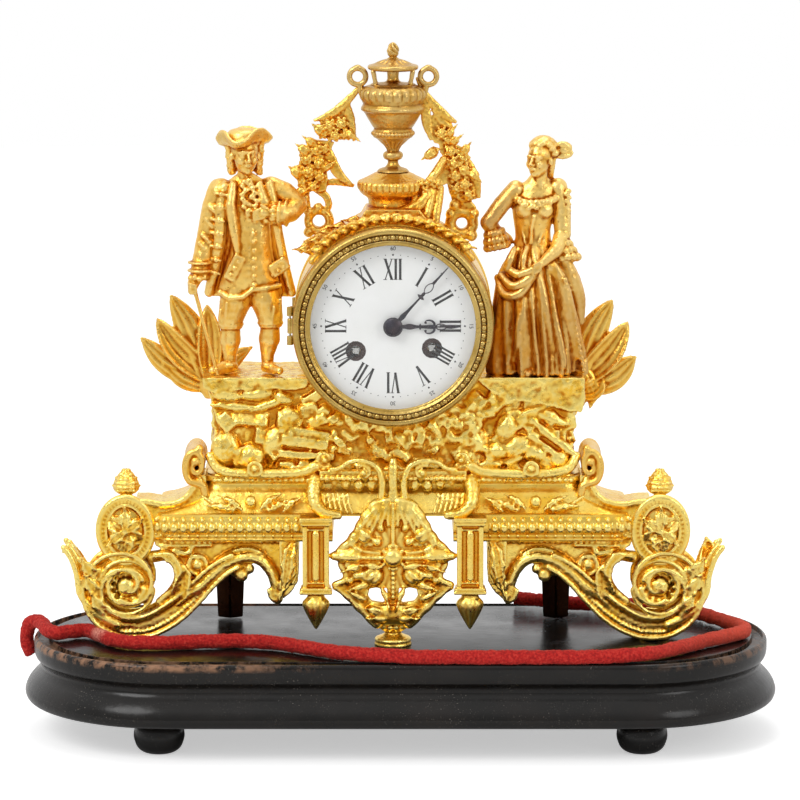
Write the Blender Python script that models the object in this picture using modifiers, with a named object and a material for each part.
"""A gilt figural mantel clock on its ebonised wood base: every solid piece, in metres, +Z up.

The origin is the bottom centre of the base's feet, +X is to the viewer's right, and the dial faces -Y.
The clock's own axis stands a little to the left of the base's centre. Pieces of the movement are placed
from the dial's centre, in a frame that is turned a little, because the movement sits askew in its case.
"""

import math

import bmesh
import bpy
from mathutils import Matrix, Vector

MM = 0.001
GAP = 0.3 * MM  # left between two pieces that touch

# Wood base, a stadium in plan
BASE_LENGTH = 404 * MM
BASE_DEPTH = 162 * MM
BASE_HEIGHT = 34 * MM
BUN_HEIGHT = 18.3 * MM
BUN_RADIUS = 13.5 * MM
BUN_X = 127.5 * MM
BUN_Y = 50 * MM
BASE_BOTTOM = BUN_HEIGHT + GAP
BASE_TOP = BASE_BOTTOM + BASE_HEIGHT
GROOVE_OUTER = 7.2 * MM  # inset of the dome groove's outer wall
GROOVE_INNER = 13.2 * MM
GROOVE_DEPTH = 3 * MM
CORD_DIAMETER = 8 * MM

# Gilt case
CLOCK_X = -4 * MM  # the clock's axis, from the base's centre
FLOOR = 52.9 * MM  # where the clock's feet stand, in the frame of its own axis
PLINTH_BOTTOM = 108 * MM
PLINTH_TOP = 143.2 * MM
PLINTH_HALF = 127.6 * MM
PLINTH_FRONT = -28 * MM
PLINTH_BACK = 44 * MM
PILASTER_X = 40.8 * MM
PILASTER_WIDTH = 17 * MM
LEG_X = 142 * MM
LEG_FRONT = -24 * MM
LEG_BACK = 0 * MM
LEG_Y = (LEG_FRONT + LEG_BACK) / 2
REAR_LEG_X = 89 * MM
MOUND_TOP = 195 * MM
MOUND_HALF = 100.6 * MM
MOUND_FRONT = -22 * MM
MOUND_BACK = 36 * MM
FIGURE_FLOOR = MOUND_TOP + GAP
URN_Y = -6 * MM

# Drum, bezel and dial
DIAL_Z = 225 * MM
MOVEMENT_TILT = math.radians(2.2)
DRUM_OUTER = 51.5 * MM
DRUM_INNER = 48 * MM
DRUM_FRONT = -31 * MM
DRUM_BACK = 34 * MM
BEZEL_OUTER = 52.75 * MM
BEZEL_OPENING = 43.2 * MM
BEZEL_BEAD = 47.6 * MM
BEZEL_REAR = -33.3 * MM
BEZEL_FRONT = -43 * MM
DIAL_RADIUS = 44.3 * MM
DIAL_FRONT = -35 * MM
DIAL_THICKNESS = 1.5 * MM
WINDING_X = 20 * MM
WINDING_Z = -12.5 * MM
WINDING_HOLE = 5.4 * MM
DOOR_RADIUS = 50 * MM
HINGE_PIN = 0.6 * MM

# Movement: plates, and the places of its arbors from the dial's centre (x, z)
PLATE_RADIUS = 43 * MM
PLATE_THICKNESS = 2 * MM
FRONT_PLATE_Y = -28 * MM  # front face of the front plate
PLATE_SPACE = 34 * MM
BACK_PLATE_Y = FRONT_PLATE_Y + PLATE_THICKNESS + PLATE_SPACE  # front face of the back plate
PIVOT = 0.4 * MM
PIVOT_HOLE = PIVOT + GAP
GREAT_TEETH = 48
GREAT_MODULE = 0.8 * MM
GREAT_PINION = 8
SECOND_TEETH = 48
SECOND_MODULE = 0.52 * MM
CENTRE_PINION = 8
CENTRE_TEETH = 72
CENTRE_MODULE = 0.34 * MM
THIRD_PINION = 6
THIRD_TEETH = 81
THIRD_MODULE = 0.28 * MM
ESCAPE_PINION = 6
ESCAPE_TEETH = 35
ESCAPE_RADIUS = 8 * MM
MOTION_MODULE = 0.45 * MM
CANNON_TEETH = 10
MINUTE_TEETH = 30
MINUTE_PINION = 8
HOUR_TEETH = 32
ANCHOR_Z = 33 * MM
PENDULUM_LENGTH = 100 * MM
BOB_RADIUS = 11 * MM
BOB_WELL = 30 * MM  # half width of the space that the bob swings in
CENTRE = (0.0, 0.0)
GOING_BARREL = (-WINDING_X, WINDING_Z)
STRIKE_BARREL = (WINDING_X, WINDING_Z)
STRIKE_WHEEL = (WINDING_X, WINDING_Z + (GREAT_TEETH + GREAT_PINION) * GREAT_MODULE / 2)
ESCAPE = (0.0, 21.5 * MM)
ANCHOR = (0.0, ANCHOR_Z)
FLY = (24 * MM, 27 * MM)
HAMMER = (-30 * MM, 14 * MM)
MINUTE_POST = (0.0, -(CANNON_TEETH + MINUTE_TEETH) * MOTION_MODULE / 2)
PILLAR_TURN = (WINDING_X - 20 * MM) / (40 * MM)  # keeps the upper pillars clear of the strike wheel
UPPER_PILLAR = (35 * MM * math.cos(PILLAR_TURN) - 19 * MM * math.sin(PILLAR_TURN),
                19 * MM * math.cos(PILLAR_TURN) + 35 * MM * math.sin(PILLAR_TURN))
PILLARS = [(-UPPER_PILLAR[0], UPPER_PILLAR[1]), UPPER_PILLAR, (-11 * MM, -37 * MM), (11 * MM, -37 * MM)]
BOB_MIDDLE = DIAL_Z + ANCHOR_Z * math.cos(MOVEMENT_TILT) - PENDULUM_LENGTH
BOB_HIGH = BOB_MIDDLE + BOB_RADIUS + 1 * MM
BOB_LOW = BOB_MIDDLE - BOB_RADIUS - 1 * MM
BELL = (0.0, -6 * MM)

# The chenille cord's centre line on the base, chosen by hand: x, y and height above the base's top
CORD_ROUTE = [
    (64, 69, 4.3), (80, 61.5, 4.3), (98, 55, 4.3), (120, 51.5, 4.3), (141, 47, 4.3), (157, 37.5, 4.3),
    (168, 22, 4.3), (176, 8, 4.3), (183, -4, 4.3), (183.5, -15, 4.3), (174, -25, 4.3), (160, -38.5, 4.3),
    (147.5, -52.5, 4.3), (135, -64, 4.3), (120, -70.5, 4.2), (100, -72.4, 3.6), (75, -72.4, 3.5),
    (50, -72.4, 3.5), (25, -72.4, 3.5), (3, -71.8, 3.7), (-16, -69.5, 4.2), (-33, -64.5, 4.3),
    (-50, -53, 4.3), (-66, -43, 4.3), (-84, -38, 4.3), (-102, -39, 4.3), (-120, -41.5, 4.3),
    (-137, -42, 4.3), (-149, -38, 4.3), (-157.5, -29, 4.3), (-163, -18.5, 4.3), (-169.5, -12, 4.3),
    (-177, -16, 4.3), (-183.5, -19, 4.3), (-188.5, -13, 4.3), (-191.5, -3, 4.7), (-195, 5, 5.4),
    (-199.8, 9.6, 3.2), (-202.2, 11, -3.6), (-201.6, 11.2, -9.4), (-199.8, 11.6, -13.6),
]


def mm(points):
    """Lengths in millimetres, turned into metres."""
    return [tuple(value * MM for value in point) for point in points]


def clear_scene():
    for obj in list(bpy.data.objects):
        bpy.data.objects.remove(obj, do_unlink=True)


def new_collection(name):
    collection = bpy.data.collections.new(name)
    bpy.context.scene.collection.children.link(collection)
    return collection


def new_material(name, colour, roughness, metallic):
    finish = bpy.data.materials.new(name)
    finish.use_nodes = True
    shader = finish.node_tree.nodes["Principled BSDF"]
    shader.inputs["Base Color"].default_value = (*colour, 1)
    shader.inputs["Roughness"].default_value = roughness
    shader.inputs["Metallic"].default_value = metallic
    return finish


clear_scene()
PARTS = new_collection("mantel_clock")
HELPERS = new_collection("helpers")
GILT = new_material("gilt", (0.85, 0.55, 0.14), 0.3, 1.0)
BEZEL_BRASS = new_material("bezel_brass", (0.6, 0.4, 0.12), 0.35, 1.0)
DARK_METAL = new_material("dark_metal", (0.03, 0.012, 0.008), 0.6, 0.0)
EBONISED = new_material("ebonised_wood", (0.02, 0.018, 0.016), 0.25, 0.0)
CHENILLE = new_material("red_chenille", (0.3, 0.012, 0.012), 0.9, 0.0)
ENAMEL = new_material("white_enamel", (0.9, 0.9, 0.88), 0.15, 0.0)
GLASS = new_material("glass", (0.9, 0.95, 0.95), 0.02, 0.0)
BLUED_STEEL = new_material("blued_steel", (0.02, 0.02, 0.03), 0.3, 1.0)
STEEL = new_material("steel", (0.5, 0.5, 0.52), 0.3, 1.0)
BRASS = new_material("movement_brass", (0.75, 0.55, 0.22), 0.3, 1.0)


def empty(name, parent=None, location=(0, 0, 0), turn=0.0):
    """A frame for other objects, turned about its Y axis."""
    frame = bpy.data.objects.new(name, None)
    PARTS.objects.link(frame)
    frame.parent = parent
    frame.location = location
    frame.rotation_euler = (0, turn, 0)
    return frame


CLOCK = empty("clock_axis", None, (CLOCK_X, 0, BASE_TOP + GAP - FLOOR))
# The figures move out with the drum's wall: the gentleman by less, because only his coat's hem is near it.
BESIDE_DRUM = {
    side: empty(f"beside_drum_{side}", CLOCK, (side * share * (DRUM_OUTER - 51.5 * MM), 0, 0))
    for side, share in ((-1, 0.76), (1, 0.9))
}
MOVEMENT = empty("movement_axis", CLOCK, (0, 0, DIAL_Z), -MOVEMENT_TILT)


def linked(name, data, finish, smooth=False):
    obj = bpy.data.objects.new(name, data)
    PARTS.objects.link(obj)
    data.materials.append(finish)
    if smooth:
        data.shade_smooth()
        data.set_sharp_from_angle(angle=math.radians(35))
    return obj


def from_bmesh(name, shape, finish, smooth=False):
    mesh = bpy.data.meshes.new(name)
    shape.to_mesh(mesh)
    shape.free()
    return linked(name, mesh, finish, smooth)


def turned(name, profile, finish, steps=16, closed=False):
    """A turned shape about local Z. The profile holds (radius, height), down the outer side."""
    mesh = bpy.data.meshes.new(name)
    count = len(profile)
    edges = [(i, i + 1) for i in range(count - 1)] + ([(count - 1, 0)] if closed else [])
    mesh.from_pydata([(radius, 0, height) for radius, height in profile], edges, [])
    obj = linked(name, mesh, finish)
    screw = obj.modifiers.new("turn", "SCREW")
    screw.axis = "Z"
    screw.steps = screw.render_steps = steps
    screw.use_merge_vertices = True
    screw.merge_threshold = 1e-5
    return obj


def facing(obj):
    """Turns local +Z towards the viewer, so that a height of h lies at y = -h."""
    obj.rotation_euler = (math.pi / 2, 0, 0)
    return obj


def rod_y(name, spot, steps_profile, finish, steps=12):
    """A turned rod along Y at (x, z). Its profile holds (radius, y), from front to back."""
    rod = turned(name, [(radius, -y) for radius, y in steps_profile], finish, steps)
    rod.location = (spot[0], 0, spot[1])
    return facing(rod)


def disc_y(name, spot, radius, front, back, finish, steps=24):
    return rod_y(name, spot, [(0, front), (radius, front), (radius, back), (0, back)], finish, steps)


def flat_curve(name, outlines, thickness, finish):
    """A plate from closed outlines of (x, y) in its own plane. The second and later ones are holes."""
    curve = bpy.data.curves.new(name, "CURVE")
    curve.dimensions = "2D"
    curve.fill_mode = "BOTH"
    curve.extrude = thickness / 2
    for outline in outlines:
        spline = curve.splines.new("POLY")
        spline.points.add(len(outline) - 1)
        for point, (x, y) in zip(spline.points, outline):
            point.co = (x, y, 0, 1)
        spline.use_cyclic_u = True
    return linked(name, curve, finish)


def plate_y(name, outlines, front, back, finish, spot=(0.0, 0.0)):
    """A plate that stands up, facing the viewer, from outlines of (x, z)."""
    plate = flat_curve(name, outlines, back - front, finish)
    plate.location = (spot[0], (front + back) / 2, spot[1])
    return facing(plate)


def tube(name, points, finish, sides=2, cyclic=False):
    """A round bar through (x, y, z, radius) points. A sides value of 2 gives eight sides."""
    curve = bpy.data.curves.new(name, "CURVE")
    curve.dimensions = "3D"
    curve.bevel_depth = 1.0
    curve.bevel_resolution = sides
    curve.use_fill_caps = True
    spline = curve.splines.new("POLY")
    spline.points.add(len(points) - 1)
    for point, (x, y, z, radius) in zip(spline.points, points):
        point.co = (x, y, z, 1)
        point.radius = radius
    spline.use_cyclic_u = cyclic
    return linked(name, curve, finish)


def box(name, low, high, finish):
    shape = bmesh.new()
    bmesh.ops.create_cube(shape, size=1)
    low, high = Vector(low), Vector(high)
    bmesh.ops.scale(shape, vec=high - low, verts=shape.verts)
    bmesh.ops.translate(shape, vec=(low + high) / 2, verts=shape.verts)
    return from_bmesh(name, shape, finish)


def ellipsoid(name, centre, radii, finish, segments=12, rings=8, lean=0.0):
    shape = bmesh.new()
    bmesh.ops.create_uvsphere(shape, u_segments=segments, v_segments=rings, radius=1)
    bmesh.ops.scale(shape, vec=radii, verts=shape.verts)
    bmesh.ops.rotate(shape, matrix=Matrix.Rotation(lean, 3, "Y"), verts=shape.verts)
    bmesh.ops.translate(shape, vec=centre, verts=shape.verts)
    return from_bmesh(name, shape, finish, True)


def ring_y(name, centre, radius, thickness, finish, segments=10, sides=6):
    """A wire ring that faces the viewer."""
    profile = [
        (radius + thickness * math.cos(angle), centre[1] * -1 + thickness * math.sin(angle))
        for angle in (-math.tau * i / sides for i in range(sides))
    ]
    ring = turned(name, profile, finish, segments, closed=True)
    ring.location = (centre[0], 0, centre[2])
    return facing(ring)


def loft(name, loops, finish, smooth=False):
    """A closed solid through loops of points from bottom to top, each loop anticlockwise from above."""
    shape = bmesh.new()
    rings = [[shape.verts.new(point) for point in loop] for loop in loops]
    count = len(rings[0])
    for lower, upper in zip(rings, rings[1:]):
        for i in range(count):
            j = (i + 1) % count
            shape.faces.new((lower[i], lower[j], upper[j], upper[i]))
    shape.faces.new(list(reversed(rings[0])))
    shape.faces.new(rings[-1])
    return from_bmesh(name, shape, finish, smooth)


def as_mesh(obj):
    """A curve or a modified object, made one welded mesh in its own frame."""
    bpy.context.view_layer.update()
    graph = bpy.context.evaluated_depsgraph_get()
    mesh = bpy.data.meshes.new_from_object(obj.evaluated_get(graph))
    shape = bmesh.new()
    shape.from_mesh(mesh)
    bmesh.ops.remove_doubles(shape, verts=shape.verts, dist=1e-6)
    shape.to_mesh(mesh)
    shape.free()
    name, parent, place = obj.name, obj.parent, obj.matrix_world.copy()
    bpy.data.objects.remove(obj, do_unlink=True)
    solid = bpy.data.objects.new(name, mesh)
    PARTS.objects.link(solid)
    solid.parent = parent
    solid.matrix_world = place
    return solid


def combine(base, others, operation):
    """Joins others to the base, or cuts them out of it, with one Boolean modifier each."""
    base = base if base.type == "MESH" else as_mesh(base)
    for number, other in enumerate(others):
        other = other if other.type == "MESH" else as_mesh(other)
        other.name = f"{base.name}_{operation.lower()}_{number}"
        PARTS.objects.unlink(other)
        HELPERS.objects.link(other)
        other.hide_render = True
        other.display_type = "WIRE"
        other.parent = other.parent or base.parent
        step = base.modifiers.new(f"{operation.lower()}_{number}", "BOOLEAN")
        step.operation = operation
        step.object = other
    return base


def fuse(base, *others):
    return combine(base, others, "UNION")


def cut(base, *others):
    return combine(base, others, "DIFFERENCE")


def on_clock(obj):
    obj.parent = CLOCK
    return obj


def beside_drum(obj, side):
    """Stands the object on the clock, moved out with the drum's wall."""
    obj.parent = BESIDE_DRUM[side]
    return obj


def in_movement(obj):
    obj.parent = MOVEMENT
    return obj


def circle(radius, steps, centre=(0.0, 0.0), turn=0.0):
    return [
        (centre[0] + radius * math.cos(turn + math.tau * i / steps),
         centre[1] + radius * math.sin(turn + math.tau * i / steps))
        for i in range(steps)
    ]


def mirrored(points):
    """The half outline on the right, completed with its mirror image on the left."""
    return points + [(-x, y) for x, y in reversed(points) if x > 0]


def stadium(inset, height, steps=14):
    """The base's outline, moved in by an inset."""
    straight = (BASE_LENGTH - BASE_DEPTH) / 2
    radius = BASE_DEPTH / 2 - inset
    points = []
    for side, start in ((1, -math.pi / 2), (-1, math.pi / 2)):
        for i in range(steps + 1):
            angle = start + math.pi * i / steps
            points.append((side * straight + radius * math.cos(angle), radius * math.sin(angle), height))
    return points


def make_wood_base():
    """The ebonised base: a torus, a cove, a lip, and the groove that a glass dome stands in."""
    profile = mm([
        (4, 0), (1.2, 1.4), (0, 4.2), (0.3, 6.6), (1.8, 10), (4.6, 13.6), (7.6, 16.4), (8.4, 18.6), (7.6, 21),
        (5.8, 23.4), (5, 26.5), (5, 31.5),
    ])
    profile += [
        (GROOVE_OUTER - 1.6 * MM, BASE_HEIGHT), (GROOVE_OUTER, BASE_HEIGHT),
        (GROOVE_OUTER, BASE_HEIGHT - GROOVE_DEPTH), (GROOVE_INNER, BASE_HEIGHT - GROOVE_DEPTH),
        (GROOVE_INNER, BASE_HEIGHT),
    ]
    loops = [stadium(inset, BASE_BOTTOM + height) for inset, height in profile]
    loft("wood_base", loops, EBONISED, True)


def make_bun_feet():
    profile = [(0, BUN_HEIGHT), (8 * MM, BUN_HEIGHT), (8 * MM, BUN_HEIGHT - 2 * MM)]
    profile += [(12 * MM, 14.5 * MM), (BUN_RADIUS, 9.5 * MM), (12.2 * MM, 4 * MM), (8.5 * MM, 0), (0, 0)]
    for side, x in (("left", -BUN_X), ("right", BUN_X)):
        for end, y in (("front", -BUN_Y), ("rear", BUN_Y)):
            foot = turned(f"bun_foot_{end}_{side}", profile, EBONISED)
            foot.location = (x, y, 0)


def smooth_route(points, spacing):
    """Points at an even spacing on a smooth curve through the given ones."""
    points = [Vector(point) for point in points]
    ends = [2 * points[0] - points[1]] + points + [2 * points[-1] - points[-2]]
    dense = []
    for a, b, c, d in zip(ends, ends[1:], ends[2:], ends[3:]):
        for i in range(12):
            t = i / 12
            dense.append(0.5 * (2 * b + (c - a) * t + (2 * a - 5 * b + 4 * c - d) * t ** 2
                                + (3 * b - a - 3 * c + d) * t ** 3))
    dense.append(points[-1])
    length = sum((b - a).length for a, b in zip(dense, dense[1:]))
    step = length / round(length / spacing)
    route, walked = [dense[0]], 0.0
    for a, b in zip(dense, dense[1:]):
        piece = (b - a).length
        while walked + piece >= step * len(route) and len(route) * step < length - step / 2:
            route.append(a.lerp(b, (step * len(route) - walked) / piece))
        walked += piece
    return route + [dense[-1]]


def make_cord():
    """The loose chenille cord that seals a dome's edge, lying on the base."""
    route = [Vector(point) + Vector((0, 0, BASE_TOP)) for point in mm(CORD_ROUTE)]
    even = smooth_route(route, 1.25 * CORD_DIAMETER)
    tube("chenille_cord", [(*point, CORD_DIAMETER / 2) for point in even], CHENILLE)


def rounded_rectangle(half_x, front, back, corner, height, steps=3):
    points = []
    centres = ((half_x - corner, front + corner, -90), (half_x - corner, back - corner, 0),
               (corner - half_x, back - corner, 90), (corner - half_x, front + corner, 180))
    for x, y, start in centres:
        for i in range(steps + 1):
            angle = math.radians(start + 90 * i / steps)
            points.append((x + corner * math.cos(angle), y + corner * math.sin(angle), height))
    return points


def make_plinth():
    """The stepped casting that carries the mound: gadroon band, flare and beaded cornice, hollow below."""
    levels = mm([
        (0, -3.1, 3), (2.8, -1.4, 1), (8.6, 0, 0), (14.5, -1.4, 1), (16, -4.6, 2.5), (22, -19.6, 5.5),
        (29, -29.6, 7), (33, -31.1, 7.5), (34, -28.1, 4), (35.2, -28.1, 4),
    ])
    loops = [
        rounded_rectangle(PLINTH_HALF + side, PLINTH_FRONT + front, PLINTH_BACK - front / 2,
                          12 * MM, PLINTH_BOTTOM + rise)
        for rise, side, front in levels
    ]
    plinth = loft("plinth_casting", loops, GILT)
    hollow = box("hollow", (-86 * MM, -17 * MM, PLINTH_BOTTOM - 5 * MM),
                 (86 * MM, 35 * MM, PLINTH_TOP - 5 * MM), GILT)
    gap_half = PILASTER_X - PILASTER_WIDTH / 2 - GAP
    gap = box("gap", (-gap_half, PLINTH_FRONT - 10 * MM, PLINTH_BOTTOM - 5 * MM),
              (gap_half, PLINTH_BACK + 10 * MM, PLINTH_BOTTOM + 14 * MM), GILT)
    extras = []
    bracket = mm([
        (49.6, 110), (49.6, 96), (54, 84), (59.6, 76), (62, 84), (66.5, 87.5), (68, 95), (73, 98),
        (76, 104), (76, 110),
    ])
    for side in (-1, 1):
        volute = circle(1, 10)
        volute = [(side * 103 * MM + 6.5 * MM * x, 151 * MM + 11 * MM * z) for x, z in volute]
        extras.append(plate_y("volute", [volute], -23 * MM, 12 * MM, GILT))
        extras.append(plate_y("bracket", [[(side * x, z) for x, z in bracket]], -27.5 * MM, -19 * MM, GILT))
    cut(on_clock(plinth), hollow, gap)
    if BOB_LOW < PLINTH_TOP + GAP:
        cut(plinth, box("well", (-BOB_WELL, 5 * MM, BOB_LOW), (BOB_WELL, PLINTH_BACK + 10 * MM, PLINTH_TOP + 5 * MM), GILT))
    fuse(plinth, *extras)


def make_apron():
    """The openwork cartouche of fruit and foliage in the middle, on its turned cup."""
    half = mm([
        (0, 132), (14, 131), (17, 122), (21, 113.5), (27, 106), (32, 101.5), (28, 97.5), (25.5, 92), (26, 86.5),
        (31.8, 87.5), (31.8, 83.5), (25, 80), (14, 69), (0, 65),
    ])
    holes = [circle(3.6 * MM, 8, (side * 9.5 * MM, 83.5 * MM)) for side in (-1, 1)]
    back = PLINTH_FRONT - GAP
    apron = plate_y("apron_cartouche", [mirrored(half)] + holes, back - 9 * MM, back, GILT)
    cup = turned("cup", mm([(0, 80), (13, 80), (12, 73), (8.5, 67), (8.5, 64), (0, 64)]), GILT, 14)
    cup.location = (0, -23 * MM, 0)
    bosses = [
        ellipsoid("boss", (x * MM, back - 8 * MM, z * MM), (r * MM, 6 * MM, r * MM), GILT, 8, 6)
        for x, z, r in ((0, 104, 9), (-15, 118, 7), (16, 118, 7), (-14, 96, 6.5), (14, 96, 6.5))
    ]
    fuse(on_clock(apron), cup, *bosses)


def make_centre_foot():
    profile = mm([(0, 10.8), (7, 10.8), (7.5, 9), (4.5, 7), (5, 5), (8.5, 4), (9.7, 2.4), (9.7, 0), (0, 0)])
    foot = turned("centre_foot", profile, GILT)
    foot.location = (0, -23 * MM, FLOOR)
    on_clock(foot)


def make_pilasters():
    """The panelled blocks beside the apron, each with a turned drop under it."""
    half = PILASTER_WIDTH / 2
    back = PLINTH_FRONT - GAP
    front = back - 7.5 * MM
    for side, x in (("left", -PILASTER_X), ("right", PILASTER_X)):
        shaft = box(f"pilaster_{side}", (x - half + 1.5 * MM, front, 84 * MM), (x + half - 1.5 * MM, back, 120 * MM), GILT)
        cap = box("cap", (x - half, front - 1.2 * MM, 118.5 * MM), (x + half, back, 122.8 * MM), GILT)
        foot = box("foot", (x - half, front - 1.2 * MM, 81.5 * MM), (x + half, back, 85 * MM), GILT)
        panel = box("panel", (x - 4.5 * MM, front - 1 * MM, 89 * MM), (x + 4.5 * MM, front + 2 * MM, 115 * MM), GILT)
        drop = turned("drop", mm([(0, 83), (4, 83), (3.4, 80), (5.6, 76.5), (5.6, 74), (3.5, 69), (1.2, 63), (0, 62)]), GILT, 10)
        drop.location = (x, (front + back) / 2, 0)
        cut(fuse(on_clock(shaft), cap, foot, drop), panel)


def ribbon(points):
    """The outline of a band through (x, z, half width) points."""
    left, right = [], []
    for i, (x, z, half) in enumerate(points):
        before, after = points[max(i - 1, 0)], points[min(i + 1, len(points) - 1)]
        run = Vector((after[0] - before[0], after[1] - before[1])).normalized()
        left.append((x - run.y * half, z + run.x * half))
        right.append((x + run.y * half, z - run.x * half))
    return left + right[::-1]


def make_scroll_legs():
    """The end legs: an S band that winds into a spiral, its outer leaf, and the medallion above."""
    eye_z, turns, inner, outer = 82.4, 1.3, 4.0, 20.5
    coil = []
    for i in range(21):
        t = i / 20
        angle = -math.pi / 2 - math.tau * turns * (1 - t)
        radius = inner + (outer - inner) * t
        coil.append((-142 + radius * math.cos(angle), eye_z + radius * math.sin(angle), 2.6 + 1.4 * t))
    band = coil + [(-129, 64, 4.6), (-114, 72.5, 5.6), (-102, 84, 6.6), (-93, 95.5, 7), (-87, 103.5, 7.5)]
    leaf = [(-148, 60), (-158, 68), (-163, 80), (-166, 93), (-171, 105), (-162, 101), (-156, 92), (-153, 80), (-150, 68)]
    for side, sign in (("left", 1), ("right", -1)):
        outline = [(sign * x, z) for x, z in mm(ribbon(band))]
        leg = as_mesh(plate_y(f"scroll_leg_{side}", [outline], LEG_FRONT, LEG_BACK, GILT))
        blade = [(sign * x, z) for x, z in mm(leaf)]
        leafy = plate_y("leaf", [blade], LEG_FRONT + 5 * MM, LEG_BACK - 5 * MM, GILT)
        x = -sign * LEG_X
        medallion = ellipsoid("medallion", (x, LEG_Y, 113 * MM), (13.5 * MM, 10.6 * MM, 16.5 * MM), GILT, 12, 8)
        inner_face = -sign * (PLINTH_HALF + GAP)
        shoulder = box("shoulder", (min(x, inner_face), LEG_FRONT + 3 * MM, 103 * MM),
                       (max(x, inner_face), LEG_BACK - 1 * MM, 126 * MM), GILT)
        seat = box("seat", (-sign * 95 * MM if sign > 0 else 79 * MM, LEG_FRONT + 1 * MM, 98 * MM),
                   (-sign * 79 * MM if sign > 0 else 95 * MM, LEG_BACK - 1 * MM, PLINTH_BOTTOM - GAP), GILT)
        fuse(on_clock(leg), leafy, medallion, shoulder, seat)
        foot = turned(f"disc_foot_{side}", mm([(0, 4.7), (6, 4.7), (8.2, 3.5), (8.2, 0), (0, 0)]), GILT, 14)
        foot.location = (x + sign * 2 * MM, LEG_Y, FLOOR)
        on_clock(foot)
        cone = turned(
            f"pine_finial_{side}",
            mm([(0, 144.5), (2, 143.5), (4.6, 141), (6.6, 137.5), (7, 134.5), (5.4, 131.8), (3, 131), (3, 129.8), (0, 129.8)]),
            GILT, 12)
        cone.location = (x, LEG_Y, 0)
        on_clock(cone)


def make_rear_legs():
    for side, x in (("left", -REAR_LEG_X), ("right", REAR_LEG_X)):
        loops = [
            [(x - wide, 44 * MM - deep, z), (x + wide, 44 * MM - deep, z), (x + wide, 43 * MM, z), (x - wide, 43 * MM, z)]
            for wide, deep, z in ((7.2 * MM, 9 * MM, FLOOR), (10 * MM, 13 * MM, PLINTH_BOTTOM - GAP))
        ]
        on_clock(loft(f"rear_leg_{side}", loops, DARK_METAL))


def make_mound():
    """The rocky mound under the drum, cast open at the back, where the pendulum's bob swings."""
    bottom = PLINTH_TOP + GAP
    half = [(95.5 * MM, bottom), (94 * MM, 153 * MM), (95.5 * MM, 166 * MM), (98.5 * MM, 179 * MM),
            (MOUND_HALF, 187 * MM), (MOUND_HALF, MOUND_TOP)]
    mound = plate_y("rock_mound", [mirrored(half)], MOUND_FRONT, MOUND_BACK, GILT)
    saddle = disc_y("saddle", (0, DIAL_Z), DRUM_OUTER + GAP, MOUND_FRONT - 5 * MM, MOUND_BACK + 5 * MM, GILT, 48)
    bay = box("bay", (-BOB_WELL, 5 * MM, min(bottom + 2 * MM, BOB_LOW)), (BOB_WELL, MOUND_BACK + 5 * MM, 180 * MM), GILT)
    pockets = [
        box("pocket", (min(side * 38 * MM, side * 88 * MM), -14 * MM, 151 * MM),
            (max(side * 38 * MM, side * 88 * MM), MOUND_BACK + 5 * MM, 168 * MM), GILT)
        for side in (-1, 1)
    ]
    cut(on_clock(mound), saddle, bay, *pockets)


def make_leaf_sprays():
    """The flat sprays of long leaves that stand behind each figure."""
    left = mm([
        (-86, 195.3), (-89, 214), (-98.6, 231), (-103, 213), (-118, 235), (-111, 213), (-126, 223),
        (-113, 209), (-134, 212), (-114, 203), (-122, 198), (-108, 196), (-104, 187), (-101.2, 187),
        (-101.2, 195.3),
    ])
    right = mm([
        (86, 195.3), (101.2, 195.3), (101.2, 174), (105, 184), (111, 190), (112, 196), (129, 202),
        (116, 208), (125, 221), (111, 214), (116, 232), (100, 216), (90, 214),
    ])
    for name, outline in (("leaf_spray_left", left), ("leaf_spray_right", right)):
        on_clock(plate_y(name, [outline], 14.5 * MM, 18 * MM, GILT))


def body_of_revolution(name, rings, finish, steps=10):
    """A draped form through ellipses of (x, y, z, half width, half depth)."""
    loops = [
        [(x + wide * math.cos(math.tau * i / steps), y + deep * math.sin(math.tau * i / steps), z)
         for i in range(steps)]
        for x, y, z, wide, deep in mm(rings)
    ]
    return loft(name, loops, finish, True)


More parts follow.
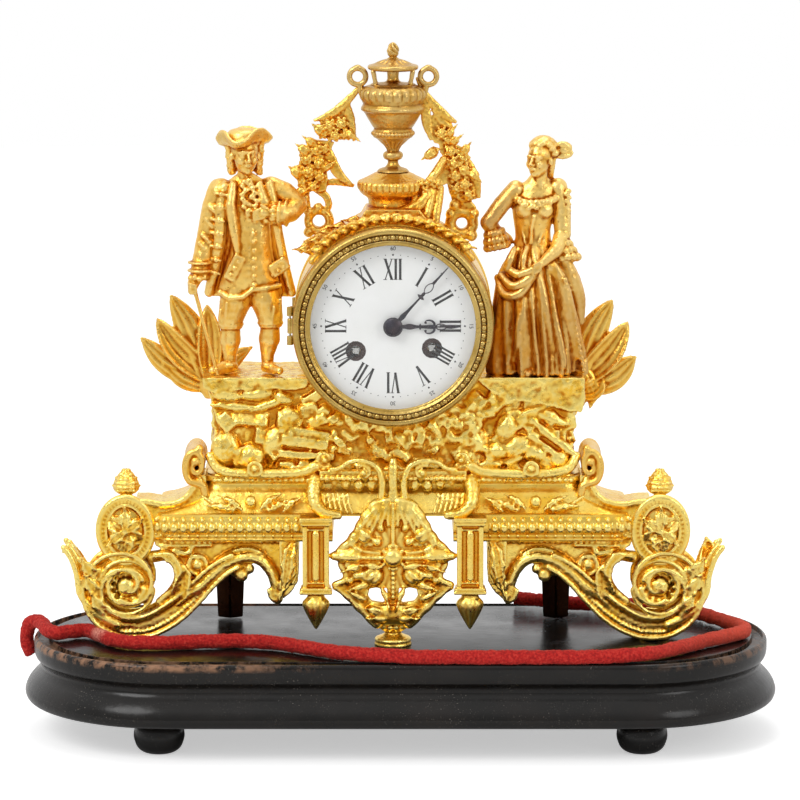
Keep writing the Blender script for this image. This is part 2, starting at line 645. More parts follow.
def make_gentleman():
    """The gentleman in a tricorn hat and a long coat."""
    coat = body_of_revolution("gentleman", [
        (-76, -7, 235, 22.5, 12), (-76, -7, 252, 19, 11.5), (-76, -7, 268, 14, 10), (-76.5, -7, 284, 15.5, 10),
        (-77, -7, 295, 14, 9), (-77, -7, 300, 5, 5), (-77, -8, 306, 4, 4),
    ], GILT)
    pieces = [
        tube("leg", mm([(-86, -10, 197, 4.4), (-84, -9, 222, 4.8), (-80, -7, 240, 7)]), GILT, 1),
        tube("leg", mm([(-66, -8, 197, 4.4), (-68, -8, 222, 4.8), (-72, -7, 240, 7)]), GILT, 1),
        ellipsoid("shoe", (-85.5 * MM, -12 * MM, 198.4 * MM), mm([(5, 8, 2.9)])[0], GILT, 8, 6),
        ellipsoid("shoe", (-64.5 * MM, -11 * MM, 198.4 * MM), mm([(5, 8, 2.9)])[0], GILT, 8, 6),
        ellipsoid("head", (-77.5 * MM, -9 * MM, 309 * MM), mm([(6.5, 7.5, 8.5)])[0], GILT, 8, 6),
        ellipsoid("brim", (-80 * MM, -9 * MM, 317 * MM), mm([(15, 12, 3)])[0], GILT, 8, 6),
        ellipsoid("crown", (-78.5 * MM, -8 * MM, 319 * MM), mm([(8.5, 8, 7.5)])[0], GILT, 8, 6),
        tube("arm", mm([(-69, -7, 290, 5.6), (-50, -13, 285.6, 5)]), GILT, 1),
        tube("forearm", mm([(-48.6, -13, 285, 4.6), (-69, -18.4, 281, 3.4)]), GILT, 1),
        tube("arm", mm([(-88, -7, 291.5, 5.6), (-101, -8.6, 265, 5.2), (-105.4, -12.4, 251, 4), (-107, -14, 244.6, 3.8)]), GILT, 1),
    ]
    fuse(beside_drum(coat, -1), *pieces)
    foot, grip = Vector(mm([(-92.6, -19.5, 0)])[0]), Vector(mm([(-106.8, -14.4, 242)])[0])
    foot.z = FIGURE_FLOOR + 0.5 * MM
    beside_drum(tube("cane", [(*foot, 1.3 * MM), (*grip, 1.3 * MM)], GILT, 1), -1)


def make_lady():
    """The lady in a laced bodice and a long skirt, with a bow in her hair."""
    dress = body_of_revolution("lady", [
        (76.5, -4, 195.4, 24, 16), (76.5, -4, 201, 24.3, 16.5), (77, -5, 225, 23.5, 15), (74.5, -5, 245, 21.5, 13),
        (73, -5, 259, 15, 10), (72, -5, 267, 10.5, 8), (73.5, -5, 280, 13, 9), (74.5, -5, 290, 12.5, 8),
        (75, -5, 295, 4.5, 4.5), (76.5, -5.5, 303, 3.8, 3.8),
    ], GILT)
    pieces = [
        ellipsoid("train", (98 * MM, 0, 203 * MM), mm([(9, 10, 7.5)])[0], GILT, 8, 6),
        ellipsoid("head", (77.6 * MM, -6.5 * MM, 308 * MM), mm([(6.5, 7.5, 8.5)])[0], GILT, 8, 6),
        ellipsoid("hair", (79.5 * MM, -3.5 * MM, 312.5 * MM), mm([(8.5, 8.5, 7.5)])[0], GILT, 8, 6),
        ellipsoid("bow", (92 * MM, -3 * MM, 311.5 * MM), mm([(6, 3.5, 4.5)])[0], GILT, 8, 6),
        tube("arm", mm([(66.3, -6, 287.4, 5), (51.8, -9.6, 270.6, 4.6)]), GILT, 1),
        tube("forearm", mm([(50.6, -9, 269, 4), (68.6, -15.6, 290.2, 3)]), GILT, 1),
        tube("arm", mm([(84, -5.4, 287.6, 5.1), (93.4, -8.4, 262.4, 4.8)]), GILT, 1),
        tube("forearm", mm([(94.4, -8.2, 263.2, 4.2), (77.3, -18.6, 252.2, 3.3)]), GILT, 1),
    ]
    fuse(beside_drum(dress, 1), *pieces)


def make_garlands():
    """The flower garlands from the urn's handles down to a ring scroll on the drum."""
    path = [(-26.2, -6, 348, 2.4), (-31, -5, 336, 3.5), (-38, -3, 325, 5), (-43.5, -1, 312, 7), (-43.5, 0, 300, 7.2),
            (-41, 0, 289, 5.6), (-39, 0, 280, 3.5), (-38.5, 0, 276, 3)]
    ring_radius, ring_wire = 6 * MM, 2.5 * MM
    reach = DRUM_OUTER + GAP + ring_radius + ring_wire
    angle = math.radians(129)
    for side, sign in (("left", 1), ("right", -1)):
        points = []
        for number, (x, y, z, radius) in enumerate(mm(path)):
            share = (DRUM_OUTER - 51.5 * MM) * number / (len(path) - 1)
            points.append((sign * (x + share * math.cos(angle)), y, z + share * math.sin(angle), radius))
        garland = tube(f"garland_{side}", points, GILT)
        centre = (sign * reach * math.cos(angle), 0, DIAL_Z + reach * math.sin(angle))
        fuse(on_clock(garland), ring_y("ring", centre, ring_radius, ring_wire, GILT))


def make_urn():
    """The urn on its draped pedestal, with two ring handles and a domed lid."""
    pedestal = turned("urn_pedestal", mm([
        (0, 303), (9, 303), (14, 300.5), (16.5, 298), (17, 296), (16.5, 294), (12.5, 292), (11, 288.5), (11.5, 283),
        (14, 279), (15, 273), (0, 273),
    ]), GILT, 16)
    pedestal.location = (0, URN_Y, 0)
    drape = ellipsoid("drape", mm([(6, -17.3, 286.4)])[0], mm([(15, 6.2, 5.6)])[0], GILT, 8, 6, 0.06)
    fold = ellipsoid("fold", mm([(20.4, -11, 280.6)])[0], mm([(7.4, 7, 10.2)])[0], GILT, 8, 6)
    drum = disc_y("drum", (0, DIAL_Z), DRUM_OUTER + GAP, -60 * MM, 60 * MM, GILT, 48)
    cut(fuse(on_clock(pedestal), drape, fold), drum)
    urn = turned("urn", mm([
        (0, 355.6), (6.5, 355.6), (6.5, 350.5), (15, 348.6), (16, 346), (16, 341), (17, 339.5), (17, 336), (11, 326),
        (10.5, 322), (8, 318), (2.8, 314), (4.6, 311.5), (3, 309), (3, 306), (5.5, 303.3), (0, 303.3),
    ]), GILT, 14)
    urn.location = (0, URN_Y, 0)
    handles = []
    for sign in (-1, 1):
        centre = (sign * 18.5 * MM, URN_Y, 353 * MM)
        handles.append(ring_y("ring", centre, 4 * MM, 1.3 * MM, GILT))
        bar = mm([(sign * 13, -6, 347, 1.6), (sign * 16, -6, 349.6, 1.6)])
        handles.append(tube("bar", bar, GILT, 1))
    fuse(on_clock(urn), *handles)
    lid = turned("urn_lid", mm([
        (0, 371.5), (1.2, 370), (2.6, 367), (1.6, 364.6), (4.5, 363.4), (8, 361), (12.4, 358.8), (12.8, 357.4),
        (12.4, 355.9), (0, 355.9),
    ]), GILT, 14)
    lid.location = (0, URN_Y, 0)
    on_clock(lid)


def make_drum():
    """The drum case, open at both ends, slotted below for the pendulum's rod."""
    wall = [(DRUM_OUTER, -DRUM_FRONT), (DRUM_OUTER, -DRUM_BACK), (DRUM_INNER, -DRUM_BACK), (DRUM_INNER, -DRUM_FRONT)]
    drum = facing(turned("drum_case", wall, GILT, 40, closed=True))
    drum.location = (0, 0, DIAL_Z)
    drum_low = DIAL_Z - DRUM_OUTER
    slot_half = 9 * MM if BOB_HIGH < drum_low else BOB_RADIUS + 3 * MM
    slot = box("slot", (-slot_half, 11 * MM, drum_low - 13.5 * MM), (slot_half, 25 * MM, DIAL_Z - 40 * MM), GILT)
    ears = []
    for low, high in ((KNUCKLE + GAP, 2 * KNUCKLE), (-2 * KNUCKLE, -KNUCKLE - GAP)):
        ears.append(knuckle("ear", DOOR_HINGE_X, DOOR_HINGE_Y, DIAL_Z + low, DIAL_Z + high))
        ears.append(box("strap", (DOOR_HINGE_X - 1 * MM, DRUM_BACK - 7 * MM, DIAL_Z + low),
                        (-DOOR_RADIUS - 0.5 * MM, DOOR_HINGE_Y, DIAL_Z + high), BRASS))
    pin = turned("pin", [(0, 2 * KNUCKLE), (HINGE_PIN, 2 * KNUCKLE), (HINGE_PIN, -2 * KNUCKLE), (0, -2 * KNUCKLE)], STEEL, 8)
    pin.location = (DOOR_HINGE_X, DOOR_HINGE_Y, DIAL_Z)
    fuse(cut(on_clock(drum), slot), *ears, pin)


DOOR_HINGE_X = -(DRUM_OUTER + 1.4 * MM)
DOOR_HINGE_Y = DRUM_BACK + 1.3 * MM


def knuckle(name, x, y, low, high):
    """A hinge knuckle about a pin that stands along Z, and the hole for the pin."""
    barrel = turned(name, [(0, high), (1.6 * MM, high), (1.6 * MM, low), (0, low)], BEZEL_BRASS, 10)
    barrel.location = (x, y, 0)
    return barrel


HINGE_X = -(BEZEL_OUTER + 1.2 * MM)
HINGE_Y = -34.6 * MM
KNUCKLE = 5 * MM


def hinge_bore(x, y, reach):
    hole = turned("bore", [(0, reach), (HINGE_PIN + GAP, reach), (HINGE_PIN + GAP, -reach), (0, -reach)], BRASS, 8)
    hole.location = (x, y, DIAL_Z)
    return hole


def make_bezel():
    """The fixed seat ring, the hinged beaded bezel with its glass, and the hinge's pin."""
    seat_front, seat_back = BEZEL_REAR + GAP, DRUM_FRONT - GAP
    outer, inner = BEZEL_OUTER - 0.4 * MM, 41.5 * MM
    ring = [(outer, -seat_front), (outer, -seat_back), (inner, -seat_back), (inner, -seat_front)]
    seat = facing(turned("bezel_seat", ring, BEZEL_BRASS, 40, closed=True))
    seat.location = (0, 0, DIAL_Z)
    lugs = []
    for angle in (40, 140, 270):
        x, z = 42.2 * MM * math.cos(math.radians(angle)), 42.2 * MM * math.sin(math.radians(angle))
        lugs.append(box("lug", (x - 2.5 * MM, seat_front + 0.5 * MM, DIAL_Z + z - 2.5 * MM),
                        (x + 2.5 * MM, FRONT_PLATE_Y - GAP, DIAL_Z + z + 2.5 * MM), BRASS))
    for low, high in ((KNUCKLE + GAP, 2 * KNUCKLE), (-2 * KNUCKLE, -KNUCKLE - GAP)):
        lugs.append(knuckle("knuckle", HINGE_X, HINGE_Y, DIAL_Z + low, DIAL_Z + high))
        lugs.append(box("leaf", (HINGE_X, HINGE_Y + 1.4 * MM, DIAL_Z + low), (-48 * MM, seat_back, DIAL_Z + high), BRASS))
    cut(fuse(on_clock(seat), *lugs), hinge_bore(HINGE_X, HINGE_Y, 15 * MM))

    rebate, shelf = 44.9 * MM, 41.7 * MM
    profile = [
        (BEZEL_OPENING, -BEZEL_FRONT - 0.6 * MM), (45 * MM, -BEZEL_FRONT), (BEZEL_BEAD + 1.6 * MM, 42.2 * MM),
        (BEZEL_OUTER, 38 * MM), (BEZEL_OUTER, -BEZEL_REAR), (rebate, -BEZEL_REAR), (rebate, shelf), (BEZEL_OPENING, shelf),
    ]
    bezel = facing(turned("bezel", profile, BEZEL_BRASS, 40, closed=True))
    bezel.location = (0, 0, DIAL_Z)
    notch = box("notch", (HINGE_X - 5 * MM, BEZEL_REAR - 3.5 * MM, DIAL_Z + KNUCKLE), (-50.3 * MM, BEZEL_REAR + 3 * MM, DIAL_Z + 11 * MM), BRASS)
    other = box("notch", (HINGE_X - 5 * MM, BEZEL_REAR - 3.5 * MM, DIAL_Z - 11 * MM), (-50.3 * MM, BEZEL_REAR + 3 * MM, DIAL_Z - KNUCKLE), BRASS)
    middle = knuckle("knuckle", HINGE_X, HINGE_Y, DIAL_Z - KNUCKLE, DIAL_Z + KNUCKLE)
    leaf = box("leaf", (HINGE_X, HINGE_Y - 1.4 * MM, DIAL_Z - KNUCKLE), (-50.5 * MM, HINGE_Y + 1 * MM, DIAL_Z + KNUCKLE), BRASS)
    cut(fuse(cut(on_clock(bezel), notch, other), middle, leaf), hinge_bore(HINGE_X, HINGE_Y, 15 * MM))
    pin = turned("bezel_hinge_pin", [(0, 2 * KNUCKLE), (HINGE_PIN, 2 * KNUCKLE), (HINGE_PIN, -2 * KNUCKLE), (0, -2 * KNUCKLE)], STEEL, 8)
    pin.location = (HINGE_X, HINGE_Y, DIAL_Z)
    on_clock(pin)
    glass = facing(turned("bezel_glass", mm([(0, 41.4), (44.6, 41.4), (44.6, 40), (0, 40)]), GLASS, 40))
    glass.location = (0, 0, DIAL_Z)
    on_clock(glass)


def make_back_door():
    """The round door over the back of the drum, hinged at the viewer's left."""
    front = DRUM_BACK + GAP
    door = disc_y("back_door", (0, DIAL_Z), DOOR_RADIUS, front, front + 2 * MM, BEZEL_BRASS, 40)
    knob = rod_y("knob", (43 * MM, DIAL_Z), mm([(0, 36), (1.6, 36), (1.6, 38.5), (3, 39.5), (3, 41.5), (0, 42)]), BEZEL_BRASS, 8)
    x, y = DOOR_HINGE_X, DOOR_HINGE_Y
    middle = knuckle("knuckle", x, y, DIAL_Z - KNUCKLE, DIAL_Z + KNUCKLE)
    leaf = box("leaf", (x, y - 0.7 * MM, DIAL_Z - KNUCKLE), (-47 * MM, y + 0.8 * MM, DIAL_Z + KNUCKLE), BRASS)
    cut(fuse(on_clock(door), knob, middle, leaf), hinge_bore(x, y, 15 * MM))


def make_dial():
    """The white enamel dial, with holes for the hands' pipe and the two winding squares."""
    holes = [circle(3.2 * MM, 12)] + [circle(WINDING_HOLE, 14, (side * WINDING_X, WINDING_Z)) for side in (-1, 1)]
    plate = plate_y("dial", [circle(DIAL_RADIUS, 40)] + holes, DIAL_FRONT, DIAL_FRONT + DIAL_THICKNESS, ENAMEL)
    in_movement(plate)


def hand_outline(points, angle):
    """Turns an outline that points up by a clockwise angle, as seen from the front."""
    turn = math.radians(angle)
    return [(x * math.cos(turn) + z * math.sin(turn), z * math.cos(turn) - x * math.sin(turn)) for x, z in points]


def hand_shape(hub, stem):
    """A hand that points up: a round hub and the right half of its stem, mirrored. In millimetres."""
    arc = [(hub * math.cos(math.radians(angle)), hub * math.sin(math.radians(angle))) for angle in (-75, -45, -15, 15, 45)]
    return mirrored(mm(arc + stem))


def make_hands():
    """The ornate steel hands and the domed boss that holds them. They show seven minutes past three."""
    minute = hand_shape(3.4, [(1.2, 4), (1.2, 17), (3.6, 20.5), (1.2, 24), (3, 26.5), (0.8, 29), (0.4, 41)])
    hour = hand_shape(4.4, [(1.4, 5), (1.4, 13), (4.4, 17), (3.6, 20.5), (1.2, 23), (0.6, 34.5)])
    hole = circle(1.3 * MM, 8)
    wide_hole = circle(2.9 * MM, 10)
    in_movement(plate_y("minute_hand", [hand_outline(minute, 44.8), hole], -38.5 * MM, -37.9 * MM, BLUED_STEEL))
    in_movement(plate_y("hour_hand", [hand_outline(hour, 92.5), wide_hole], -37.2 * MM, -36.6 * MM, BLUED_STEEL))
    profile = mm([(0, -39.7), (2.6, -39.6), (4.4, -39.2), (4.8, -38.8), (0, -38.8)])
    in_movement(rod_y("hand_boss", CENTRE, profile, BLUED_STEEL, 12))


def wheel_outline(teeth, module, tooth_at):
    """Pointed teeth, root to root. One tooth stands at the angle tooth_at."""
    pitch = teeth * module / 2
    points = []
    for i in range(teeth):
        for radius, shift in ((pitch + 0.7 * module, 0.0), (pitch - 1.2 * module, 0.5)):
            angle = tooth_at + math.tau * (i + shift) / teeth
            points.append((radius * math.cos(angle), radius * math.sin(angle)))
    return points


def pinion_outline(leaves, module, leaf_at):
    """Slim pointed leaves with flat roots between them. One leaf stands at the angle leaf_at."""
    pitch = leaves * module / 2
    points = []
    for i in range(leaves):
        for radius, shift in ((pitch - 1.2 * module, -0.21), (pitch + 0.75 * module, 0.0), (pitch - 1.2 * module, 0.21)):
            angle = leaf_at + math.tau * (i + shift) / leaves
            points.append((radius * math.cos(angle), radius * math.sin(angle)))
    return points


def bearing(start, end):
    return math.atan2(end[1] - start[1], end[0] - start[0])


def wheel(name, spot, teeth, module, toward, front, back, bore=None):
    """A toothed wheel with a tooth on the line to its pinion."""
    outlines = [wheel_outline(teeth, module, bearing(spot, toward))]
    if bore:
        outlines.append(circle(bore, 8))
    return plate_y(name, outlines, front, back, BRASS, spot)


def pinion(name, spot, leaves, module, toward, front, back, bore=None):
    """A pinion with a gap on the line to its wheel."""
    outlines = [pinion_outline(leaves, module, bearing(spot, toward) + math.pi / leaves)]
    if bore:
        outlines.append(circle(bore, 8))
    return plate_y(name, outlines, front, back, STEEL, spot)


def meeting_point(start, first, end, second, side):
    """Where circles of the radii first and second about start and end cross."""
    gap = math.dist(start, end)
    along = (first ** 2 - second ** 2 + gap ** 2) / (2 * gap)
    across = side * math.sqrt(first ** 2 - along ** 2)
    ux, uz = (end[0] - start[0]) / gap, (end[1] - start[1]) / gap
    return (start[0] + along * ux - across * uz, start[1] + along * uz + across * ux)


SECOND = meeting_point(GOING_BARREL, (GREAT_TEETH + GREAT_PINION) * GREAT_MODULE / 2,
                       CENTRE, (SECOND_TEETH + CENTRE_PINION) * SECOND_MODULE / 2, 1)
THIRD = meeting_point(CENTRE, (CENTRE_TEETH + THIRD_PINION) * CENTRE_MODULE / 2,
                      ESCAPE, (THIRD_TEETH + ESCAPE_PINION) * THIRD_MODULE / 2, -1)


def plate_holes(openings):
    return [circle(radius, 10 if radius > 1.5 * MM else 8, spot) for spot, radius in openings]


def make_plates():
    """The movement's two round plates: the front one with its four pillars, the back one with the bell's stand."""
    shared = [(spot, PIVOT_HOLE) for spot in (SECOND, THIRD, ESCAPE, ANCHOR, STRIKE_WHEEL, FLY, HAMMER)]
    front = shared + [(CENTRE, 1.5 * MM), (GOING_BARREL, 2.6 * MM), (STRIKE_BARREL, 2.6 * MM)]
    back = shared[:3] + [(ANCHOR, PIVOT_HOLE), (STRIKE_WHEEL, 1.3 * MM), (FLY, PIVOT_HOLE), (HAMMER, 1.3 * MM)]
    back += [(CENTRE, PIVOT_HOLE), (GOING_BARREL, 1.9 * MM), (STRIKE_BARREL, 1.9 * MM)]
    front_plate = plate_y("front_plate", [circle(PLATE_RADIUS, 32)] + plate_holes(front),
                          FRONT_PLATE_Y, FRONT_PLATE_Y + PLATE_THICKNESS, BRASS)
    post = rod_y("post", MINUTE_POST, [(0, -33 * MM), (0.5 * MM, -33 * MM), (0.5 * MM, FRONT_PLATE_Y + 1 * MM), (0, FRONT_PLATE_Y + 1 * MM)], STEEL, 8)
    pillars = []
    ends = (FRONT_PLATE_Y + PLATE_THICKNESS - 0.5 * MM, BACK_PLATE_Y - GAP)
    for spot in PILLARS:
        profile = [(0, ends[0]), (3 * MM, ends[0]), (3 * MM, ends[0] + 3 * MM), (2 * MM, ends[0] + 5 * MM),
                   (2 * MM, ends[1] - 5 * MM), (3 * MM, ends[1] - 3 * MM), (3 * MM, ends[1]), (0, ends[1])]
        pillars.append(rod_y("pillar", spot, profile, BRASS, 8))
    fuse(in_movement(front_plate), post, *pillars)
    back_plate = plate_y("back_plate", [circle(PLATE_RADIUS, 32)] + plate_holes(back),
                         BACK_PLATE_Y, BACK_PLATE_Y + PLATE_THICKNESS, BRASS)
    post_x, x, z = BELL[0] + 14 * MM, *BELL
    stand = tube("stand", [(post_x, 9 * MM, z, 2.2 * MM), (post_x, 17 * MM, z, 1.6 * MM), (x + 5 * MM, 21 * MM, z, 1.6 * MM),
                           (x, 24 * MM, z, 1.6 * MM), (x, 28.3 * MM, z, 1.6 * MM)], BRASS)
    fuse(in_movement(back_plate), stand)


def make_barrel(name, spot, toward, arbor_name):
    """A mainspring barrel with its great wheel, and the winding arbor through it with its square end."""
    bore = 2.6 * MM
    drum = plate_y(name, [circle(16 * MM, 24), circle(bore, 8)], -21 * MM, -4.5 * MM, BRASS, spot)
    great = wheel("great", spot, GREAT_TEETH, GREAT_MODULE, toward, -5 * MM, -3 * MM, bore)
    fuse(in_movement(drum), in_movement(great))
    front = FRONT_PLATE_Y + PLATE_THICKNESS
    profile = [(0, FRONT_PLATE_Y - 1 * MM), (2.3 * MM, FRONT_PLATE_Y - 1 * MM), (2.3 * MM, BACK_PLATE_Y - 1 * MM),
               (1.6 * MM, BACK_PLATE_Y - 1 * MM), (1.6 * MM, BACK_PLATE_Y + PLATE_THICKNESS), (0, BACK_PLATE_Y + PLATE_THICKNESS)]
    arbor = rod_y(arbor_name, spot, profile, STEEL, 8)
    half = 1.6 * MM
    square = box("square", (spot[0] - half, -34.6 * MM, spot[1] - half), (spot[0] + half, front, spot[1] + half), STEEL)
    fuse(in_movement(arbor), square)


def arbor_profile(radius, front_pivot=True):
    """An arbor between the plates, with a pivot at each end."""
    front, back = FRONT_PLATE_Y + PLATE_THICKNESS + GAP, BACK_PLATE_Y - GAP
    start = FRONT_PLATE_Y + GAP if front_pivot else front
    return [(0, start), (PIVOT, start), (PIVOT, front), (radius, front), (radius, back), (PIVOT, back),
            (PIVOT, BACK_PLATE_Y + PLATE_THICKNESS), (0, BACK_PLATE_Y + PLATE_THICKNESS)]


def make_going_train():
    """Second, centre, third and escape wheels, each fixed on its arbor with its pinion."""
    second = rod_y("second_wheel", SECOND, arbor_profile(1.2 * MM), STEEL, 6)
    fuse(in_movement(second),
         wheel("wheel", SECOND, SECOND_TEETH, SECOND_MODULE, CENTRE, -24.5 * MM, -23 * MM),
         pinion("pinion", SECOND, GREAT_PINION, GREAT_MODULE, GOING_BARREL, -6 * MM, -2.2 * MM))
    shaft = [(0, -38.6 * MM), (1.0 * MM, -38.6 * MM), (1.0 * MM, FRONT_PLATE_Y), (1.2 * MM, FRONT_PLATE_Y),
             (1.2 * MM, 3 * MM), (PIVOT, 3 * MM), (PIVOT, BACK_PLATE_Y + PLATE_THICKNESS), (0, BACK_PLATE_Y + PLATE_THICKNESS)]
    centre = rod_y("centre_wheel", CENTRE, shaft, STEEL, 6)
    fuse(in_movement(centre),
         wheel("wheel", CENTRE, CENTRE_TEETH, CENTRE_MODULE, THIRD, -1.2 * MM, 0.3 * MM),
         pinion("pinion", CENTRE, CENTRE_PINION, SECOND_MODULE, SECOND, -25.4 * MM, -22.2 * MM))
    third = rod_y("third_wheel", THIRD, arbor_profile(0.6 * MM), STEEL, 6)
    fuse(in_movement(third),
         wheel("wheel", THIRD, THIRD_TEETH, THIRD_MODULE, ESCAPE, 4 * MM, 5.2 * MM),
         pinion("pinion", THIRD, THIRD_PINION, CENTRE_MODULE, CENTRE, -2.4 * MM, 1.4 * MM))
    escape = rod_y("escape_wheel", ESCAPE, arbor_profile(0.5 * MM), STEEL, 6)
    spikes = []
    for i in range(ESCAPE_TEETH):
        angle = math.tau * i / ESCAPE_TEETH
        for radius, shift in ((ESCAPE_RADIUS, 0.0), (ESCAPE_RADIUS - 1.3 * MM, 0.04)):
            spikes.append((radius * math.cos(angle + shift), radius * math.sin(angle + shift)))
    fuse(in_movement(escape),
         plate_y("wheel", [spikes], -10 * MM, -8.8 * MM, BRASS, ESCAPE),
         pinion("pinion", ESCAPE, ESCAPE_PINION, THIRD_MODULE, THIRD, 3 * MM, 6.2 * MM))


def make_motion_works():
    """Cannon pinion, minute wheel and hour wheel, which turn the hour hand once for twelve turns."""
    cannon = rod_y("cannon_pinion", CENTRE, mm([(0, -37.6), (1.7, -37.6), (1.7, -29.8), (1.9, -29.8), (1.9, -28.4), (0, -28.4)]), STEEL, 8)
    bore = disc_y("bore", CENTRE, 1.3 * MM, -40 * MM, -27 * MM, STEEL, 8)
    leaves = pinion("leaves", CENTRE, CANNON_TEETH, MOTION_MODULE, MINUTE_POST, -30 * MM, -28.4 * MM)
    cut(fuse(in_movement(cannon), leaves), bore)
    gear = wheel("minute_wheel", MINUTE_POST, MINUTE_TEETH, MOTION_MODULE, CENTRE, -29.8 * MM, -28.8 * MM, 0.8 * MM)
    fuse(in_movement(gear), pinion("pinion", MINUTE_POST, MINUTE_PINION, MOTION_MODULE, CENTRE, -32.4 * MM, -29.6 * MM, 0.8 * MM))
    hour = wheel("hour_wheel", CENTRE, HOUR_TEETH, MOTION_MODULE, MINUTE_POST, -32.2 * MM, -31 * MM, 2 * MM)
    pipe = plate_y("pipe", [circle(2.6 * MM, 14), circle(2 * MM, 12)], -37.4 * MM, -31.4 * MM, BRASS)
    fuse(in_movement(hour), pipe)


def make_escapement():
    """Anchor with its crutch, and the pendulum that hangs from the back cock."""
    anchor = rod_y("anchor", ANCHOR, [(0, FRONT_PLATE_Y + GAP), (PIVOT, FRONT_PLATE_Y + GAP), (PIVOT, -25.7 * MM), (0.9 * MM, -25.7 * MM),
                                      (0.9 * MM, 7.7 * MM), (PIVOT, 7.7 * MM), (PIVOT, 12.2 * MM), (0, 12.2 * MM)], STEEL, 8)
    arms = plate_y("arms", [mm([(0, 2.4), (-5.5, -0.5), (-9.4, -7.6), (-8, -8.2), (-4.2, -2.6), (0, -1.2), (4.2, -2.6), (8, -8.2), (9.4, -7.6), (5.5, -0.5)])],
                   -10.2 * MM, -8.6 * MM, STEEL, ANCHOR)
    pivot = DIAL_Z + ANCHOR_Z * math.cos(MOVEMENT_TILT)
    x = -ANCHOR_Z * math.sin(MOVEMENT_TILT)
    crutch = box("crutch", (x - 1 * MM, 10.8 * MM, pivot - 26 * MM), (x + 1 * MM, 12 * MM, pivot + 1.5 * MM), STEEL)
    fork = box("fork", (x - 2.4 * MM, 10.8 * MM, pivot - 26.6 * MM), (x + 2.4 * MM, 15.6 * MM, pivot - 24.6 * MM), STEEL)
    mouth = box("mouth", (x - 1.2 * MM, 12.4 * MM, pivot - 28 * MM), (x + 1.2 * MM, 17 * MM, pivot - 23 * MM), STEEL)
    cut(fuse(in_movement(anchor), arms, on_clock(crutch), on_clock(fork)), on_clock(mouth))
    centre = pivot - PENDULUM_LENGTH
    rod_y_centre = 14 * MM
    rod = tube("pendulum", [(x, rod_y_centre, pivot + 1.2 * MM, 0.8 * MM), (x, rod_y_centre, centre, 0.8 * MM)], STEEL, 1)
    bob = rod_y("bob", (x, centre), [(0, 10.8 * MM), (6 * MM, 11.2 * MM), (BOB_RADIUS, 13.4 * MM), (BOB_RADIUS, 14.6 * MM), (6 * MM, 16.8 * MM), (0, 17.2 * MM)], BRASS, 20)
    fuse(on_clock(rod), bob)
    cock = box("suspension_cock", (-9 * MM, 10.3 * MM, ANCHOR_Z + 3 * MM), (9 * MM, 12 * MM, ANCHOR_Z + 7.5 * MM), BRASS)
    arm = box("arm", (-3 * MM, 11 * MM, ANCHOR_Z + 3 * MM), (3 * MM, 17 * MM, ANCHOR_Z + 7.5 * MM), BRASS)
    spring = box("spring", (-1.4 * MM, 13.8 * MM, ANCHOR_Z + 1.6 * MM), (1.4 * MM, 14.2 * MM, ANCHOR_Z + 4 * MM), STEEL)
    fuse(in_movement(cock), arm, spring)


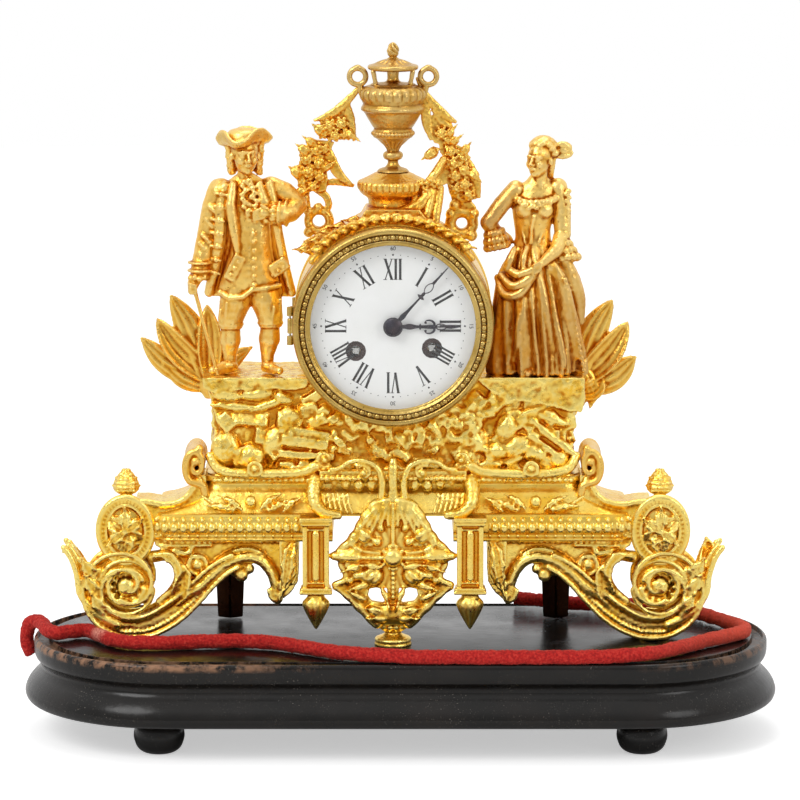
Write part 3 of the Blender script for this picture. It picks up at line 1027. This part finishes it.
def make_strike():
    """Strike wheel with its count wheel, fly, hammer and bell."""
    strike = rod_y("strike_wheel", STRIKE_WHEEL, [(0, FRONT_PLATE_Y + GAP), (PIVOT, FRONT_PLATE_Y + GAP), (PIVOT, -25.7 * MM), (1 * MM, -25.7 * MM),
                                                  (1 * MM, 12.6 * MM), (0, 12.6 * MM)], STEEL, 8)
    hub = disc_y("wheel", STRIKE_WHEEL, 11.5 * MM, -24.5 * MM, -23 * MM, BRASS, 24)
    notches = []
    for hour in range(1, 13):
        angle = math.tau * hour * (hour + 3) / 180
        for radius, shift in ((12.5, -0.05), (10.5, -0.04), (10.5, 0.04), (12.5, 0.05)):
            notches.append((radius * MM * math.cos(angle + shift), radius * MM * math.sin(angle + shift)))
    count = plate_y("count_wheel", [notches], 10.8 * MM, 12 * MM, BRASS, STRIKE_WHEEL)
    fuse(in_movement(strike), hub, count,
         pinion("pinion", STRIKE_WHEEL, GREAT_PINION, GREAT_MODULE, STRIKE_BARREL, -6 * MM, -2.2 * MM))
    fly = rod_y("fly", FLY, arbor_profile(0.8 * MM), STEEL, 6)
    vane = box("vane", (FLY[0] - 5.5 * MM, -18 * MM, FLY[1] - 0.3 * MM), (FLY[0] + 5.5 * MM, -4 * MM, FLY[1] + 0.3 * MM), BRASS)
    fuse(in_movement(fly), vane)
    hammer = rod_y("hammer", HAMMER, [(0, FRONT_PLATE_Y + GAP), (PIVOT, FRONT_PLATE_Y + GAP), (PIVOT, -25.7 * MM), (1 * MM, -25.7 * MM), (1 * MM, 22 * MM), (0, 22 * MM)], STEEL, 8)
    stem = tube("stem", [(HAMMER[0], 20.5 * MM, HAMMER[1], 0.9 * MM), (HAMMER[0] - 3 * MM, 20.5 * MM, HAMMER[1] - 17 * MM, 0.9 * MM)], STEEL, 1)
    head = ellipsoid("head", (HAMMER[0] - 2.2 * MM, 20.5 * MM, HAMMER[1] - 19.5 * MM), (3.4 * MM, 3.4 * MM, 3.4 * MM), STEEL, 8, 6)
    fuse(in_movement(hammer), stem, head)
    shell = mm([(0, 28.6), (9.6, 28), (18, 25.8), (22.6, 22.2), (24.6, 18), (26, 18), (24, 23), (19, 27), (10, 29.4), (0, 30)])
    bell = rod_y("bell", BELL, shell, BRASS, 24)
    in_movement(bell)


make_wood_base()
make_bun_feet()
make_cord()
make_plinth()
make_apron()
make_centre_foot()
make_pilasters()
make_scroll_legs()
make_rear_legs()
make_mound()
make_leaf_sprays()
make_gentleman()
make_lady()
make_garlands()
make_urn()
make_drum()
make_bezel()
make_back_door()
make_dial()
make_hands()
make_plates()
make_barrel("going_barrel", GOING_BARREL, SECOND, "going_winding_arbor")
make_barrel("strike_barrel", STRIKE_BARREL, STRIKE_WHEEL, "strike_winding_arbor")
make_going_train()
make_motion_works()
make_escapement()
make_strike()
